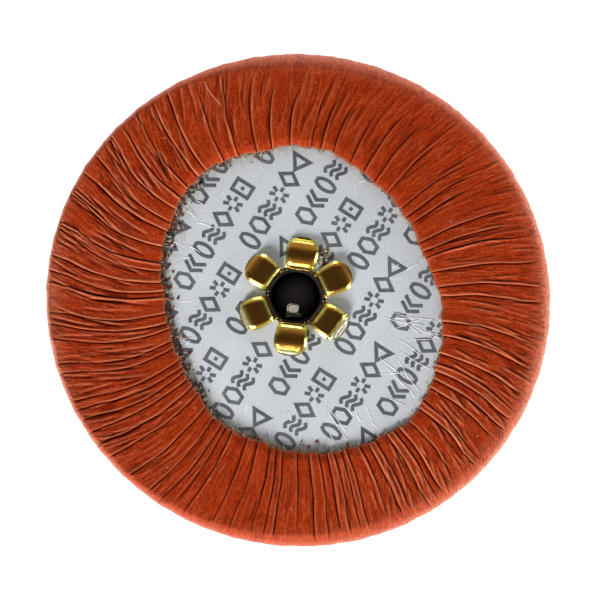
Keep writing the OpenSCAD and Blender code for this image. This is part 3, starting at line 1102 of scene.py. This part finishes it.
def bore_glint(material):
    """A painted glint down the bore: a small pale metal piece, a crimped loop and two bars, that stands for
    a bright reflection.
    """
    shape = Shape()
    turn = np.linspace(0, TURN, 25)
    wide = 0.36 * np.sign(np.cos(turn)) * np.abs(np.cos(turn)) ** 0.6
    tall = 0.27 * np.sign(np.sin(turn)) * np.abs(np.sin(turn)) ** 0.6
    loop = np.stack([-0.17 + wide + 0.10 * tall, -0.76 + tall, -1.75 - 0.4 * tall], axis=1)
    points, faces = tube_mesh(loop, 0.055 + 0.02 * np.cos(turn + 2.4), 8)
    shape.add(points, faces)
    pad = loop * (0.96, 0.96, 1.0) + (0.0, -0.03, -0.03)
    middle = pad[:-1].mean(axis=0)
    under = pad[:-1] + (0, 0, -0.05)
    size = len(pad) - 1
    plate = np.concatenate([pad[:-1], [middle + (0.03, 0.02, 0.03)], under, [middle + (0, 0, -0.05)]])
    sheet = []
    for i in range(size):
        j = (i + 1) % size
        low_i, low_j = size + 1 + i, size + 1 + j
        sheet += [(i, j, size), (low_j, low_i, 2 * size + 1), (j, i, low_i, low_j)]
    shape.add(plate, sheet)
    for offset, half, thick in ((-1.12, 0.50, 0.045), (-1.27, 0.56, 0.022)):
        x = np.linspace(-half, half, 9)
        bar = np.stack([-0.12 + x, offset + 0.03 * np.cos(5 * x) - 0.02 * x, -1.68 + 0 * x], axis=1)
        points, faces = tube_mesh(bar, thick * (1 - 0.5 * (np.abs(x) / half) ** 4), 8)
        shape.add(points, faces)
    shape.piece("bore_glint", material, "rivet", math.radians(40))


# ---------------------------------------------------------------- camera, light and floor

VIEW_WIDTH = 38.54      # millimetres across the picture, at the back plane
CAMERA_FAR = 250.0
FLOOR_HALF = 0.4        # half the side of the sheet, in metres
FLOOR_GAP = 0.02        # how far the sheet lies below the resonator


def make_camera():
    """A long lens straight over the pad."""
    data = bpy.data.cameras.new("camera")
    data.sensor_width = 36
    data.lens = data.sensor_width * CAMERA_FAR / VIEW_WIDTH
    data.clip_start = 0.01
    data.clip_end = 10
    camera = new_object("camera", data)
    camera.location = (0.285 * MM, -0.225 * MM, CAMERA_FAR * MM)
    bpy.context.scene.camera = camera


def make_world():
    """A pale studio, brighter low down, with a wide dark patch over the pad."""
    world = bpy.data.worlds.new("studio")
    world.use_nodes = True
    nodes = Nodes(world.node_tree)
    direction = nodes.node("ShaderNodeTexCoord").outputs["Generated"]
    inputs = {0: direction, 1: (0.5, 2.2, 0.0)}
    patch = nodes.node("ShaderNodeVectorMath", inputs, operation="MULTIPLY").outputs["Vector"]
    reach = nodes.node("ShaderNodeVectorMath", {0: patch}, operation="LENGTH").outputs["Value"]
    background = world.node_tree.nodes["Background"]
    nodes.set(background.inputs["Color"], nodes.ramp(reach, 0.75, 1.2, 0.15, 1.0))
    nodes.set(background.inputs["Strength"], 0.51)
    bpy.context.scene.world = world


def area_light(name, place, size, power):
    """A square soft light that faces the pad, with its place and size in millimetres."""
    data = bpy.data.lights.new(name, "AREA")
    data.size = size * MM
    data.energy = power
    light = new_object(name, data)
    light.location = Vector(place) * MM
    light.rotation_euler = (-Vector(place)).to_track_quat("-Z", "Y").to_euler()


def make_floor(material):
    """The white sheet that the pad lies on."""
    low = float(dome_low[2] - FLOOR_GAP) * MM
    mesh = bpy.data.meshes.new("floor")
    corners = [(x * FLOOR_HALF, y * FLOOR_HALF, low) for x, y in ((-1, -1), (1, -1), (1, 1), (-1, 1))]
    mesh.from_pydata(corners, [], [(0, 1, 2, 3)])
    mesh.materials.append(material)
    floor = new_object("floor", mesh)


def dress_node(node, material):
    """Gives a CAD node its finish."""
    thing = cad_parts[node]
    thing.data.materials.clear()
    thing.data.materials.append(material)


make_camera()
make_world()
area_light("key", (-134, -231, 136), 80, 1.10)
area_light("fill", (245, -60, 32), 90, 0.52)
area_light("back", (10, 250, 28), 90, 0.28)
make_floor(floor_finish())

leather_skin(leather_finish())
cushion_and_board(felt_finish(), board_finish())
printed_card(card_finish())
print_pattern(ink_finish())
glue_crust(glue_finish())
loose_fibres(fibre_finish("leather_fibre", rgb(0.72, 0.62, 0.50)))
card_scuffs(fibre_finish("paper_fibre", rgb(0.92, 0.92, 0.92)))
star_rivet(rivet_finish())
# pale metal for the painted glint down the bore
bore_glint(brass_finish("glint_metal", rgb(0.85, 0.82, 0.70), rgb(0.62, 0.58, 0.46)))
dress_node("resonator_dome", brass_finish("resonator_brass", rgb(0.80, 0.60, 0.22), rgb(0.66, 0.46, 0.14)))
dress_node("resonator_backplate", brass_finish("plate_brass", rgb(0.7, 0.5, 0.2), rgb(0.5, 0.34, 0.1)))

bpy.context.scene.view_settings.view_transform = "Standard"
